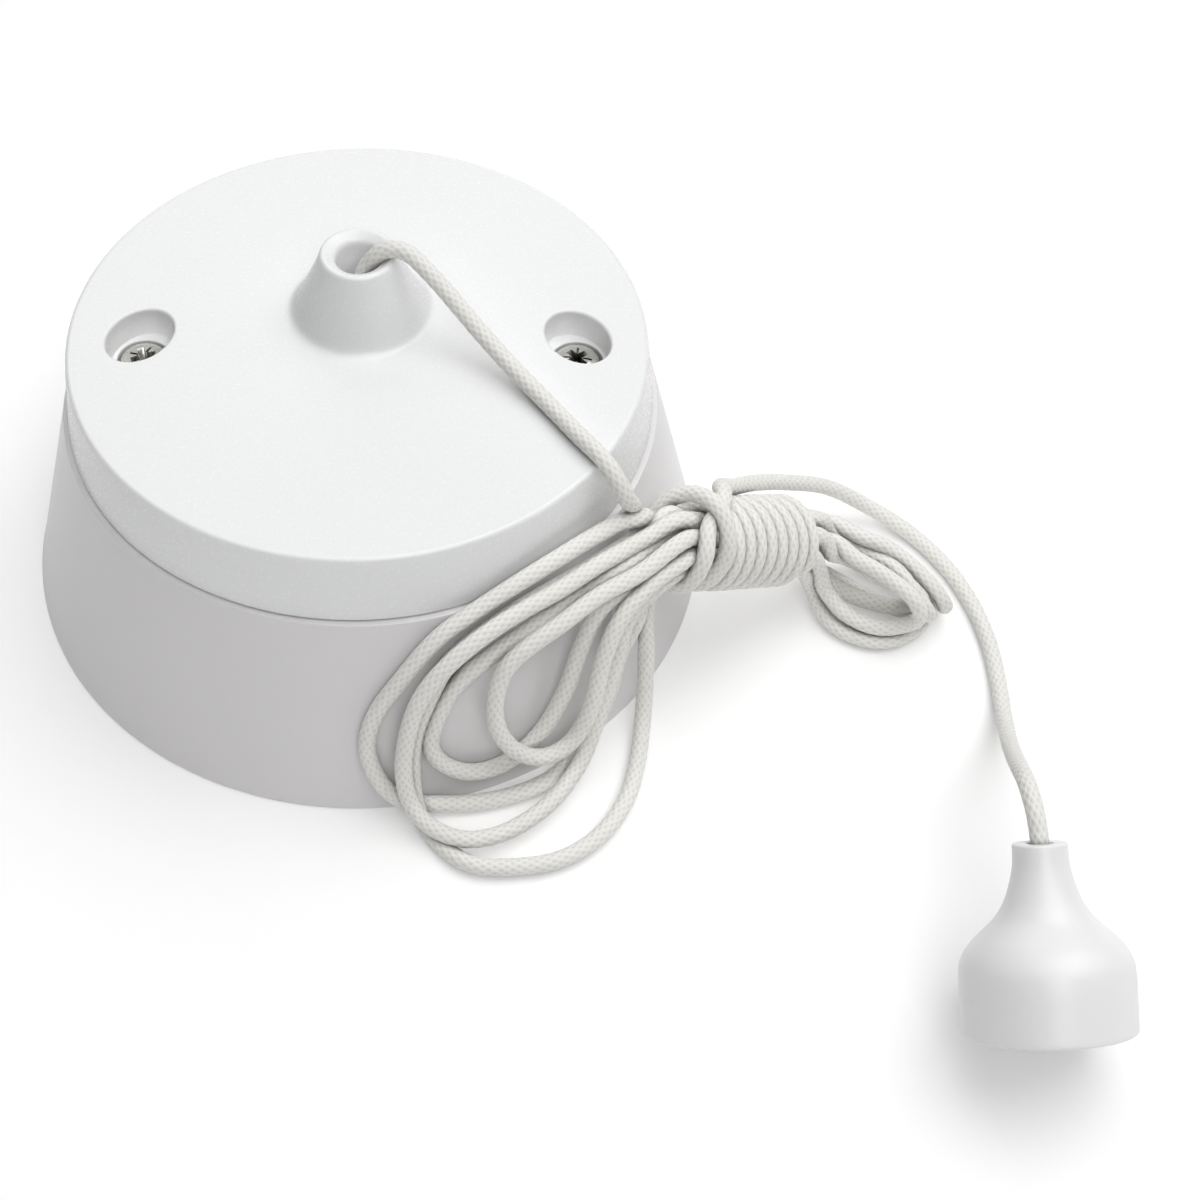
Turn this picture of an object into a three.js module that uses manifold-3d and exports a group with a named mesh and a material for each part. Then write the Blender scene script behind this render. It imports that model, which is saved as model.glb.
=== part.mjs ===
// Round ceiling pull cord switch: back box, cover with a cord outlet, ratchet mechanism, cord and bell pull.
// Millimetres, +Z up. The origin is the centre of the back face, which is screwed to a ceiling in use.
// +Z runs out through the cover, X runs along the line of the two cover screws.
import * as THREE from 'three';
import { mergeVertices } from 'three/addons/utils/BufferGeometryUtils.js';
import Module from 'manifold-3d';

const wasm = await Module();
wasm.setup();

// ---- driving dimensions ----
const GAP = 0.3; // clearance left between neighbouring pieces
const ROUND = 64; // facets round the big shells
const FINE = 18; // facets round small round pieces

const BASE_FOOT_R = 50.2;
const BASE_RIM_R = 41.9;
const BASE_WALL = 2.3;
const BASE_FLOOR = 2.5;
const KNOCKOUT_SKIN = 0.9; // wall left where a cable may be brought in from the side
const SEAM_Z = 32.0;
const LIP_R = 39.0; // register lip of the base, inside the cover's skirt
const LIP_H = 2.2;
const LIP_WALL = 1.6;

const COVER_TOP_Z = 42.8;
const COVER_TOP_R = 40.0;
const COVER_SKIRT_R = 41.5;
const COVER_WALL = 2.1;
const COVER_PLATE = 2.5;
const COVER_EDGE = 0.5;

const CORD_Y = 5.5; // the cord outlet is set back from the centre
const CONE_FOOT_R = 9.8;
const CONE_RIM_R = 5.15;
const CONE_H = 10.3;
const CONE_BORE_R = 2.8;

const SCREW_X = 30.15; // half of the 60.3 mm fixing pitch
const WELL_LONG = 5.35;
const WELL_SHORT = 4.15;
const WELL_LEAN = 56; // degrees from the inward direction
const WELL_DEPTH = 4.7;
const WELL_WALL = 1.0;
const HEAD_R = 3.35;
const HEAD_H = 2.3;
const SEAT_R = 3.7;
const SHANK_R = 1.75;
const PILLAR_R = 4.6;
const INSERT_R = 2.9;

const CORD_D = 2.4;
const CORD_SIDES = 8;

const WHEEL_X = -12.5;
const WHEEL_Z = 20;
const TOOTH_TIP_R = 8;
const TOOTH_ROOT_R = 5.5;
const TEETH = 8;
const CAM_VALLEY_R = 3.4;
const CAM_LIFT = 1.2;
const CAM_LOBES = 4;
const AXLE_R = 1.2;
const ARM_X = -16.45; // cam-side face of the moving contact
const ARM_PIVOT_Z = 11.5;
const ARM_T = 0.6;
const TIP_Z = 32;

const CASE = { x0: -24.2, x1: 24, y0: -7, y1: 18, z0: 9, z1: 38, wall: 1.6 };
const PARTITION_X = 9;
const TERMINAL = { x: 16.5, w: 7, d: 6, z0: 10, h: 9 };
const TERMINAL_YS = { common: 13, one: 5.5, two: -2 };

const SLIDER = { x0: -2.8, x1: 3.8, y0: 1.5, y1: 9.5, z0: 15, z1: 25.2 };
const FLANGE_R = 4.3;
const FLANGE_T = 1.5;
const STEM_R = 2.3;
const STEM_TOP = 29.5;
const KNOT_R = 2.4;

// ---- the cord's route, by hand: it rises through the outlet, bends over its rim, lies across the cover ----
const LEAD_ROUTE = [
  [0, 5.5, 15.2], [0, 5.5, 32], [0, 5.5, 42], [0.2, 5.3, 47.4], [0.8, 4.95, 50.2], [2.1, 4.8, 52.7], [4.2, 4.7, 54.5],
  [6.8, 3.8, 54.7], [9.4, 2, 53.2], [12, 0, 51.2], [16.5, -4.2, 47.9], [20.5, -8.2, 45.6], [25, -13.4, 44.3],
  [29.8, -20.2, 44.2], [32.8, -24.1, 43.9], [35, -25.9, 41], [35.9, -25.8, 39],
];
// it leaves the windings on top, swings down to the floor and rises in an arc to the bell pull
const TAIL_ROUTE = [
  [50.2, -14.7, 28.4], [52, -13.5, 26.4], [56.5, -8, 21], [63, -2, 14.2], [70.5, 2.3, 8], [77.5, 2.4, 3.2],
  [83.7, -1.5, 1.5], [88.4, -7.9, 1.3], [91.2, -14.6, 1.3], [92.8, -22.2, 1.3], [93.1, -30, 1.3],
  [92.4, -37, 3], [90.8, -44.5, 8], [89, -51.5, 14.5], [87.4, -58, 21], [86.6, -63.5, 25.2],
  [86.8, -68, 25.3], [87.2, -70.7, 23.4], [87.5, -75.5, 19.7],
];
const BUNDLE_LEFT = new THREE.Vector3(43.1, -25.4, 28); // centre of the wound bundle, end near the cover
const BUNDLE_RIGHT = new THREE.Vector3(60.3, -15.2, 16.6); // the other end, over the floor
const BUNDLE_R = 6.6;

// ---- bell pull: it leans on its rim with its neck raised ----
const BELL_MOUTH = new THREE.Vector3(88.3, -89.8, 9.0);
const BELL_AXIS = new THREE.Vector3(-0.047, 0.796, 0.604).normalize();
const BELL_R = 11.1;
const BELL_L = 24;
const BELL_NECK_R = 3.5;
const BELL_WALL = 1.3;
const BELL_BORE_R = 1.7;

// ---- materials ----
const finish = (color, roughness, metalness = 0) => () =>
  new THREE.MeshStandardMaterial({ color, roughness, metalness });
const urea = finish(0xf1f1f2, 0.32);
const ureaBase = finish(0xe9e8ea, 0.36);
const nylonCord = finish(0xf3f0e8, 0.85);
const bellPlastic = finish(0xf6f6f6, 0.38);
const innerPlastic = finish(0xd9d6cc, 0.5);
const acetal = finish(0xf0eee6, 0.4);
const brass = finish(0xc9a24b, 0.35, 1);
const steel = finish(0xc8c8c6, 0.3, 1);
const springSteel = finish(0x9a9a9a, 0.3, 1);

// ---- solids from three.js geometry ----
function closed(geometry) {
  const g = geometry.index ? geometry.clone() : mergeVertices(geometry.clone().deleteAttribute('uv'));
  g.deleteAttribute('normal');
  g.deleteAttribute('uv');
  const merged = mergeVertices(g, 1e-4);
  const p = merged.attributes.position;
  const index = [];
  let volume = 0;
  const a = new THREE.Vector3();
  const b = new THREE.Vector3();
  const c = new THREE.Vector3();
  for (let i = 0; i < merged.index.count; i += 3) {
    const [u, v, w] = [0, 1, 2].map((k) => merged.index.getX(i + k));
    if (u === v || v === w || w === u) continue;
    index.push(u, v, w);
    a.fromBufferAttribute(p, u);
    b.fromBufferAttribute(p, v);
    c.fromBufferAttribute(p, w);
    volume += a.dot(b.cross(c));
  }
  if (volume < 0) index.reverse();
  merged.setIndex(index);
  return merged;
}

function solid(geometry) {
  const g = closed(geometry);
  return new wasm.Manifold(new wasm.Mesh({
    numProp: 3,
    vertProperties: new Float32Array(g.attributes.position.array),
    triVerts: new Uint32Array(g.index.array),
  }));
}

function geometryOf(manifold) {
  const mesh = manifold.getMesh();
  const g = new THREE.BufferGeometry();
  g.setAttribute('position', new THREE.BufferAttribute(new Float32Array(mesh.vertProperties), 3));
  g.setIndex(new THREE.BufferAttribute(new Uint32Array(mesh.triVerts), 1));
  g.computeVertexNormals();
  return g;
}

const add = (...parts) => parts.reduce((sum, part) => sum.add(part));
const cut = (body, ...tools) => tools.reduce((rest, tool) => rest.subtract(tool), body);

function block(x0, x1, y0, y1, z0, z1) {
  const g = new THREE.BoxGeometry(x1 - x0, y1 - y0, z1 - z0);
  g.translate((x0 + x1) / 2, (y0 + y1) / 2, (z0 + z1) / 2);
  return solid(g);
}

// a round bar along X, Y or Z, from one coordinate to another; a and b are its place on the other two axes
function bar(axis, r, from, to, a, b, facets = FINE) {
  const g = new THREE.CylinderGeometry(r, r, to - from, facets);
  const middle = (from + to) / 2;
  if (axis === 'z') g.rotateX(Math.PI / 2).translate(a, b, middle);
  if (axis === 'y') g.translate(a, middle, b);
  if (axis === 'x') g.rotateZ(Math.PI / 2).translate(middle, a, b);
  return solid(g);
}

// a turned body about Z from [radius, height] pairs, which start and end on the axis or close on themselves
function turned(profile, facets) {
  const points = profile.map(([r, z]) => new THREE.Vector2(r, z));
  return solid(new THREE.LatheGeometry(points, facets).rotateX(Math.PI / 2));
}

// an outline in the XY plane, raised from one height to another
function raised(shape, z0, z1, curveSegments = 12) {
  const g = new THREE.ExtrudeGeometry(shape, { depth: z1 - z0, bevelEnabled: false, curveSegments });
  return solid(g.translate(0, 0, z0));
}

const outline = (pairs) => new THREE.Shape(pairs.map(([x, y]) => new THREE.Vector2(x, y)));

// an outline in the XZ plane, with its thickness along Y
function slabAcrossY(pairs, y0, y1) {
  const g = new THREE.ExtrudeGeometry(outline(pairs), { depth: y1 - y0, bevelEnabled: false });
  return solid(g.rotateX(Math.PI / 2).translate(0, y1, 0));
}

function tube(points, diameter, sides, steps) {
  const section = new THREE.Shape();
  for (let i = 0; i < sides; i += 1) {
    const angle = (2 * Math.PI * i) / sides;
    const [x, y] = [(diameter / 2) * Math.cos(angle), (diameter / 2) * Math.sin(angle)];
    if (i === 0) section.moveTo(x, y);
    else section.lineTo(x, y);
  }
  section.closePath();
  const path = new THREE.CatmullRomCurve3(points.map((p) => new THREE.Vector3(...p)), false, 'centripetal');
  return solid(new THREE.ExtrudeGeometry(section, { steps, bevelEnabled: false, extrudePath: path }));
}

// turns a solid made along Z so that it runs along a direction from a point
function along(manifold, origin, direction) {
  const turn = new THREE.Quaternion().setFromUnitVectors(new THREE.Vector3(0, 0, 1), direction);
  const g = geometryOf(manifold);
  g.applyMatrix4(new THREE.Matrix4().compose(origin, turn, new THREE.Vector3(1, 1, 1)));
  return solid(g);
}

const group = new THREE.Group();

function piece(name, manifold, material) {
  const mesh = new THREE.Mesh(geometryOf(manifold), material());
  mesh.name = name;
  group.add(mesh);
}

// ---- the outer shape, a little bigger, to cut what lies against it ----
const housingWithGap = turned([
  [0, -1], [BASE_FOOT_R + GAP, -1], [BASE_FOOT_R + GAP, 0], [BASE_RIM_R + GAP, SEAM_Z],
  [COVER_TOP_R + 1.2, COVER_TOP_Z + GAP], [0, COVER_TOP_Z + GAP],
], ROUND);

// ---- back box ----
function backBox() {
  const slope = (BASE_FOOT_R - BASE_RIM_R) / SEAM_Z;
  const rimZ = SEAM_Z - GAP;
  const shell = turned([
    [0, 0], [BASE_FOOT_R, 0], [BASE_RIM_R, rimZ], [LIP_R, rimZ], [LIP_R - 0.2, rimZ + LIP_H],
    [LIP_R - LIP_WALL, rimZ + LIP_H], [LIP_R - LIP_WALL, rimZ - 1],
    [BASE_FOOT_R - slope * BASE_FLOOR - BASE_WALL, BASE_FLOOR], [0, BASE_FLOOR],
  ], ROUND);
  const wellFoot = COVER_TOP_Z - WELL_DEPTH - HEAD_H - WELL_WALL;
  const pillars = [-1, 1].map((side) => cut(
    add(
      bar('z', PILLAR_R, BASE_FLOOR - 0.5, wellFoot - GAP, side * SCREW_X, 0),
      block(...[side * SCREW_X, side * (BASE_RIM_R - 1)].sort((p, q) => p - q), -0.9, 0.9, BASE_FLOOR - 0.5, 26),
    ),
    bar('z', INSERT_R, wellFoot - 9, wellFoot, side * SCREW_X, 0),
    bar('z', SHANK_R + GAP, 12, 30, side * SCREW_X, 0),
  ));
  const earthPost = block(-5, 5, -34, -26, BASE_FLOOR - 0.5, 6);
  const slotX = 25.4; // half of the 50.8 mm ceiling fixing pitch
  const slots = [-1, 1].map((side) => {
    const y = side * slotX;
    return add(
      bar('z', 2.3, -1, 4, -4, y), bar('z', 2.3, -1, 4, 4, y), block(-4, 4, y - 2.3, y + 2.3, -1, 4),
    );
  });
  const cableEntry = bar('z', 10, -1, 4, 0, 0, 32);
  const earthHole = bar('z', 1.8, 3.2, 7, 0, -30);
  const skin = turned([
    [0, 4], [BASE_FOOT_R - slope * 4 - KNOCKOUT_SKIN, 4], [BASE_FOOT_R - slope * 15 - KNOCKOUT_SKIN, 15], [0, 15],
  ], ROUND);
  const knockouts = [-1, 1].map((side) => skin.intersect(
    block(-8, 8, ...[side * 40, side * 50].sort((p, q) => p - q), 4, 15),
  ));
  return cut(add(shell, ...pillars, earthPost), ...slots, cableEntry, earthHole, ...knockouts);
}

// ---- cover ----
function wellShape(side, grow) {
  const shape = new THREE.Shape();
  const lean = THREE.MathUtils.degToRad(side < 0 ? WELL_LEAN : 180 - WELL_LEAN);
  shape.absellipse(side * SCREW_X, 0, WELL_LONG + grow, WELL_SHORT + grow, 0, 2 * Math.PI, false, lean);
  return shape;
}

function cover() {
  const plateZ = COVER_TOP_Z - COVER_PLATE;
  const shell = turned([
    [0, COVER_TOP_Z], [COVER_TOP_R - COVER_EDGE, COVER_TOP_Z],
    [COVER_TOP_R - 0.15, COVER_TOP_Z - 0.15], [COVER_TOP_R + 0.06, COVER_TOP_Z - COVER_EDGE],
    [COVER_SKIRT_R, SEAM_Z], [COVER_SKIRT_R - COVER_WALL, SEAM_Z],
    [COVER_TOP_R - COVER_WALL, plateZ], [0, plateZ],
  ], ROUND);
  const rimZ = COVER_TOP_Z + CONE_H;
  const cone = turned([
    [0, plateZ + 0.5], [CONE_FOOT_R + 0.8, plateZ + 0.5], [CONE_FOOT_R + 0.8, COVER_TOP_Z],
    [CONE_FOOT_R - 0.5, COVER_TOP_Z + 0.5], [CONE_FOOT_R - 1.5, COVER_TOP_Z + 2.2],
    [CONE_RIM_R + 1.2, rimZ - 3.5], [CONE_RIM_R + 0.35, rimZ - 1], [CONE_RIM_R, rimZ - 0.2],
    [CONE_RIM_R - 0.3, rimZ], [0, rimZ],
  ], 40);
  const bore = turned([
    [0, plateZ - 1], [CONE_BORE_R, plateZ - 1], [CONE_BORE_R, rimZ - 2.8], [CONE_BORE_R + 0.8, rimZ - 1.1],
    [CONE_RIM_R - 0.7, rimZ - 0.1], [CONE_RIM_R - 0.7, rimZ + 0.1], [0, rimZ + 0.1],
  ], 32);
  const place = new THREE.Matrix4().makeTranslation(0, CORD_Y, 0);
  const outlet = [cone, bore].map((m) => solid(geometryOf(m).applyMatrix4(place)));
  const seatZ = COVER_TOP_Z - WELL_DEPTH - HEAD_H;
  const wells = [-1, 1].map((side) => raised(wellShape(side, WELL_WALL), seatZ - WELL_WALL, plateZ + 0.5, 16));
  const wellCuts = [-1, 1].map((side) => add(
    raised(wellShape(side, 0), COVER_TOP_Z - WELL_DEPTH, COVER_TOP_Z + 1, 16),
    bar('z', SEAT_R, seatZ, COVER_TOP_Z - WELL_DEPTH + 0.1, side * SCREW_X, 0, 32),
    bar('z', SHANK_R + GAP, seatZ - 3, seatZ + 0.1, side * SCREW_X, 0),
  ));
  const bosses = [CASE.y0 - 4, CASE.y1 + 4].map((y) => bar('z', 3.2, CASE.z1 + GAP, plateZ + 0.5, 0, y));
  const bossHoles = [CASE.y0 - 4, CASE.y1 + 4].map((y) => bar('z', 1.6, CASE.z1, plateZ + 1.2, 0, y));
  return cut(add(shell, outlet[0], ...wells, ...bosses), outlet[1], ...wellCuts, ...bossHoles);
}

// ---- cover screws and their inserts ----
function crossRecess(x, y, z, size, depth) {
  return add(
    block(x - size, x + size, y - 0.45, y + 0.45, z - depth, z + 1),
    block(x - 0.45, x + 0.45, y - size, y + size, z - depth, z + 1),
  );
}

function coverScrew(side) {
  const x = side * SCREW_X;
  const headTop = COVER_TOP_Z - WELL_DEPTH;
  const seatZ = headTop - HEAD_H + GAP;
  const turnedScrew = turned([
    [0, 17], [SHANK_R - 0.6, 17], [SHANK_R, 18], [SHANK_R, seatZ], [HEAD_R, seatZ], [HEAD_R, headTop - 0.7],
    [HEAD_R * 0.75, headTop - 0.15], [HEAD_R * 0.4, headTop + 0.1], [0, headTop + 0.15],
  ], FINE);
  const placed = solid(geometryOf(turnedScrew).translate(x, 0, 0));
  return cut(placed, crossRecess(x, 0, headTop, 1.9, 1.1));
}

function threadInsert(side) {
  const top = COVER_TOP_Z - WELL_DEPTH - HEAD_H - WELL_WALL - GAP;
  return cut(
    bar('z', INSERT_R - GAP, top - 7.5, top - 0.2, side * SCREW_X, 0),
    bar('z', SHANK_R + GAP, top - 9, top + 1, side * SCREW_X, 0),
  );
}

// ---- mechanism case ----
const CASE_IN = {
  x0: CASE.x0 + CASE.wall, x1: CASE.x1 - CASE.wall, y0: CASE.y0 + CASE.wall, y1: CASE.y1 - CASE.wall,
  z1: CASE.z1 - CASE.wall,
};

function mechanismCase() {
  const outside = block(CASE.x0, CASE.x1, CASE.y0, CASE.y1, CASE.z0, CASE.z1);
  const works = block(CASE_IN.x0, PARTITION_X, CASE_IN.y0, CASE_IN.y1, CASE.z0 - 1, CASE_IN.z1);
  const wiring = block(PARTITION_X + 1.4, CASE_IN.x1, CASE_IN.y0, CASE_IN.y1, CASE.z0 - 1, CASE_IN.z1);
  const ribs = [
    block(-1.5, 1.5, CASE_IN.y0 - 0.5, SLIDER.y0 - GAP, 15, 24),
    block(-1.5, 1.5, SLIDER.y1 + GAP, CASE_IN.y1 + 0.5, 15, 24),
  ];
  const lugs = [
    block(-4.5, 4.5, CASE.y0 - 8, CASE.y0 + 0.5, CASE.z1 - 2.5, CASE.z1),
    block(-4.5, 4.5, CASE.y1 - 0.5, CASE.y1 + 8, CASE.z1 - 2.5, CASE.z1),
  ];
  const wireHoles = Object.values(TERMINAL_YS).map((y) => bar('x', 2, CASE_IN.x1 - 1, CASE.x1 + 1, y, 16));
  return cut(
    add(cut(outside, works, wiring), ...ribs, ...lugs),
    bar('z', 3, CASE_IN.z1 - 1, CASE.z1 + 1, 0, CORD_Y),
    bar('y', AXLE_R + GAP, CASE.y0 - 1, CASE.y1 + 1, WHEEL_X, WHEEL_Z),
    bar('y', 0.8 + GAP, CASE_IN.y1 - 1, CASE.y1 + 1, ARM_X - ARM_T / 2, ARM_PIVOT_Z),
    block(PARTITION_X - 1, PARTITION_X + 2, 14, 16.2, 30.7, 34.3),
    block(PARTITION_X - 1, PARTITION_X + 2, 11.9, 13.3, CASE.z0 - 1, 14.3),
    ...wireHoles,
    ...[CASE.y0 - 4, CASE.y1 + 4].map((y) => bar('z', 1.6, CASE.z1 - 4, CASE.z1 + 1, 0, y)),
  );
}

function mechanismLid() {
  const plate = block(CASE.x0, CASE.x1, CASE.y0, CASE.y1, CASE.z0 - GAP - 1.5, CASE.z0 - GAP);
  const stops = [SLIDER.y0 + 0.8, SLIDER.y1 - 0.8].map((y) => bar(
    'z', 0.9, CASE.z0 - GAP - 0.5, SLIDER.z0 - GAP, 2.6, y, 12,
  ));
  const access = Object.values(TERMINAL_YS).map((y) => bar('z', 2.3, 6, 10, TERMINAL.x, y));
  return cut(add(plate, ...stops), ...access);
}

function caseScrew(y) {
  const lugFoot = CASE.z1 - 2.5 - GAP;
  return cut(
    add(bar('z', 2.6, lugFoot - 2, lugFoot, 0, y), bar('z', 1.25, lugFoot - 0.5, CASE.z1 + 2.8, 0, y)),
    crossRecess(0, y, lugFoot - 3, 1.3, -0.2).add(block(-1.3, 1.3, y - 0.35, y + 0.35, lugFoot - 3, lugFoot - 1.1)),
  );
}

// ---- terminals ----
function terminal(y) {
  const { x, w, d, z0, h } = TERMINAL;
  return cut(
    block(x - w / 2, x + w / 2, y - d / 2, y + d / 2, z0, z0 + h),
    bar('x', 1.6, x - w, x + w, y, 16),
    bar('z', 1.5 + GAP, z0 - 1, 16, x, y),
  );
}

function terminalScrew(y) {
  const foot = 8.6;
  return cut(
    bar('z', 1.5, foot, 14, TERMINAL.x, y),
    block(TERMINAL.x - 2, TERMINAL.x + 2, y - 0.3, y + 0.3, foot - 1, foot + 0.9),
  );
}

function earthTerminal() {
  return cut(
    block(-4, 4, -33, -27, 6 + GAP, 12.5),
    bar('x', 1.6, -5, 5, -30, 8.6),
    bar('z', 1.5 + GAP, 5, 13, 0, -30),
  );
}

function earthScrew() {
  return cut(
    add(bar('z', 1.5, 10.6, 13.4, 0, -30), bar('z', 2.4, 12.5 + GAP, 14.4, 0, -30)),
    block(-3, 3, -30.3, -29.7, 13.6, 15),
  );
}

// ---- ratchet wheel with its cam ----
function ratchetCam() {
  const teeth = [];
  const first = THREE.MathUtils.degToRad(-22.5); // the driven tooth at rest
  const pitch = (2 * Math.PI) / TEETH;
  const at = (r, angle) => [WHEEL_X + r * Math.cos(angle), WHEEL_Z + r * Math.sin(angle)];
  for (let i = 0; i < TEETH; i += 1) {
    const angle = first + i * pitch;
    teeth.push(at(TOOTH_ROOT_R, angle));
    teeth.push(at(TOOTH_TIP_R, angle));
    teeth.push(at((TOOTH_TIP_R + TOOTH_ROOT_R) / 2, angle + pitch / 2));
  }
  const lobes = [];
  const camSteps = 48;
  for (let i = 0; i < camSteps; i += 1) {
    const angle = (2 * Math.PI * i) / camSteps;
    const rise = (1 - Math.cos(CAM_LOBES * (angle - Math.PI))) / 2;
    lobes.push(at(CAM_VALLEY_R + CAM_LIFT * rise, angle));
  }
  return cut(
    add(slabAcrossY(teeth, 4, 7.2), slabAcrossY(lobes, 7, 11.6)),
    bar('y', AXLE_R + GAP, 3, 13, WHEEL_X, WHEEL_Z),
  );
}

// ---- cord slider, its pawl and its spring ----
function cordSlider() {
  const { x0, x1, y0, y1, z0, z1 } = SLIDER;
  return cut(
    add(
      block(x0, x1, y0, y1, z0, z1),
      bar('z', FLANGE_R, z1 - 0.2, z1 + FLANGE_T, 0, CORD_Y),
      bar('z', STEM_R, z1, STEM_TOP, 0, CORD_Y),
    ),
    bar('z', CORD_D / 2 + GAP, z0 - 1, STEM_TOP + 1, 0, CORD_Y),
    block(x0 - 1, -1.2, 3.8, 7.2, 21.7, 23.1),
  );
}

function drivePawl() {
  const armX0 = WHEEL_X + 8.6;
  const hookTop = WHEEL_Z - 3.42;
  const profile = [
    [armX0, hookTop - 1.2], [armX0 + 0.7, hookTop - 1.2], [armX0 + 0.7, 22], [-1.6, 22], [-1.6, 22.8],
    [armX0, 22.8], [armX0, hookTop], [WHEEL_X + 7.1, hookTop], [WHEEL_X + 7.1, hookTop - 0.8],
  ];
  return slabAcrossY(profile, 4.2, 6.8);
}

function detentLeaf() {
  return block(CASE_IN.x0 + GAP, WHEEL_X - 1, 4.3, 6.9, WHEEL_Z + TOOTH_TIP_R + 0.4, WHEEL_Z + TOOTH_TIP_R + 0.9);
}

function returnSpring() {
  const turns = 4;
  const stepsPerTurn = 10;
  const radius = 3.5;
  const wire = 0.6;
  const from = SLIDER.z1 + FLANGE_T + GAP + wire / 2;
  const to = CASE_IN.z1 - GAP - wire / 2;
  const points = [];
  for (let i = 0; i <= turns * stepsPerTurn; i += 1) {
    const angle = (2 * Math.PI * i) / stepsPerTurn;
    const z = from + ((to - from) * i) / (turns * stepsPerTurn);
    points.push([radius * Math.cos(angle), CORD_Y + radius * Math.sin(angle), z]);
  }
  return tube(points, wire, 6, turns * stepsPerTurn);
}

// ---- contacts ----
function movingContact() {
  const x1 = ARM_X;
  const x0 = ARM_X - ARM_T;
  const pinX = ARM_X - ARM_T / 2;
  return cut(
    add(
      block(x0, x1, 8, 11.4, ARM_PIVOT_Z, TIP_Z + 2),
      bar('y', 2, 8, 11.4, pinX, ARM_PIVOT_Z),
      bar('x', 1.6, x0 - 0.6, x0 + 0.2, 9.7, TIP_Z, 16),
    ),
    bar('y', 0.8 + GAP, 7, 12, pinX, ARM_PIVOT_Z),
  );
}

function fixedContact() {
  const x0 = -22.2;
  return add(
    block(x0, x0 + 0.7, 8, 15.8, 29.5, 34),
    block(x0, TERMINAL.x - TERMINAL.w / 2 - 1.5, 15, 15.8, 31, 34),
    block(TERMINAL.x - TERMINAL.w / 2 - 2.3, TERMINAL.x - TERMINAL.w / 2 - 1.5, 4.5, 15.8, 31, 34),
    block(TERMINAL.x - TERMINAL.w / 2 - 2.3, TERMINAL.x, 4.5, 7, 31, 31.8),
    block(TERMINAL.x - 1.5, TERMINAL.x - 0.7, 4.5, 7, TERMINAL.z0 + TERMINAL.h + GAP, 31.5),
    bar('x', 1.6, x0 + 0.5, x0 + 1.2, 9.7, TIP_Z, 16),
  );
}

function commonStrip() {
  return cut(
    block(ARM_X - 2.8, TERMINAL.x - TERMINAL.w / 2 - GAP, 12.2, 13, CASE.z0 + GAP, 14),
    bar('y', 0.8 + GAP, 11, 14, ARM_X - ARM_T / 2, ARM_PIVOT_Z),
  );
}

// ---- the wound hank of cord ----
const bundleAxis = BUNDLE_RIGHT.clone().sub(BUNDLE_LEFT).normalize();
const bundleLength = BUNDLE_RIGHT.distanceTo(BUNDLE_LEFT);

function windings() {
  const r = BUNDLE_R;
  const bundle = turned([
    [0, 0], [r - 1.2, 0], [r, 1.2], [r, bundleLength - 1.2], [r - 1.2, bundleLength], [0, bundleLength],
  ], FINE);
  return along(bundle, BUNDLE_LEFT, bundleAxis);
}

const beyond = (start, sign) => {
  const far = 90;
  const g = block(-far, far, -far, far, 0, far);
  return along(g, start, bundleAxis.clone().multiplyScalar(sign));
};

// the loops that climb the box's wall: a leaf in plan, bounded outside by a mantle round the wall
function leftLoops() {
  const leaf = raised(outline([
    [52, -30], [45.5, -35], [43.5, -42], [41.5, -50], [37, -57.5], [29.5, -61.4], [20, -62], [12, -60.5],
    [5, -55], [0.5, -50], [0.5, -45], [5, -40], [20, -30], [40, -15], [47, -12], [54, -20],
  ]), 0.2, 37.6);
  const mantle = turned([
    [0, 0.1], [63.4, 0.1], [63.4, 4.2], [58, 7.5], [54, 19], [52, 30], [49.5, 37.5], [0, 37.5],
  ], ROUND);
  const cutFace = BUNDLE_LEFT.clone().addScaledVector(bundleAxis, -GAP);
  const high = beyond(cutFace, 1).intersect(block(-90, 90, -90, 90, 16, 60));
  const low = block(42.6, 90, -90, 10, -1, 16.01);
  return cut(leaf.intersect(mantle), housingWithGap, high, low);
}

// the loops past the other end, which droop to the floor: a leaf in plan, thinner towards its tip
function rightLoops() {
  const leaf = raised(outline([
    [57, -20], [60, -22], [69, -22.5], [75, -24], [80.5, -24], [86, -20.5], [89, -17.5], [88.6, -14.5],
    [85, -10.6], [80, -7], [74, -4], [68, -3.5], [62, -7.5], [57, -12],
  ]), 0.2, 24);
  const wedge = slabAcrossY([
    [57, 9], [64, 5], [68, 0], [90, 0], [90, 4], [87, 7.5], [80, 12.5], [70, 17], [62, 22.5], [57, 23.5],
  ], -30, 0);
  const cutFace = BUNDLE_RIGHT.clone().addScaledVector(bundleAxis, GAP);
  return cut(leaf.intersect(wedge), beyond(cutFace, -1));
}

// ---- bell pull ----
function bellPull() {
  const r = BELL_R;
  const body = turned([
    [0, 0], [r - 0.2, 0], [r, 0.3], [r, 8.3], [r - 0.5, 9.8], [r - 1.7, 11.3], [r - 4.6, 14.2],
    [r - 6.2, 16.6], [BELL_NECK_R + 0.45, 19], [BELL_NECK_R, 20.8], [BELL_NECK_R, BELL_L - 0.4],
    [BELL_NECK_R - 0.4, BELL_L], [0, BELL_L],
  ], 32);
  const w = BELL_WALL;
  const hollow = turned([
    [0, -1], [r - w, -1], [r - w, 8.2], [r - w - 0.5, 9.4], [r - 1.7 - w, 10.6], [r - 4.6 - w, 13.4],
    [BELL_BORE_R + 0.8, 16], [BELL_BORE_R, 16.6], [BELL_BORE_R, BELL_L + 1], [0, BELL_L + 1],
  ], 32);
  return along(cut(body, hollow), BELL_MOUTH, BELL_AXIS);
}

function knot(centre) {
  return solid(new THREE.SphereGeometry(KNOT_R, 16, 10).translate(centre.x, centre.y, centre.z));
}

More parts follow.
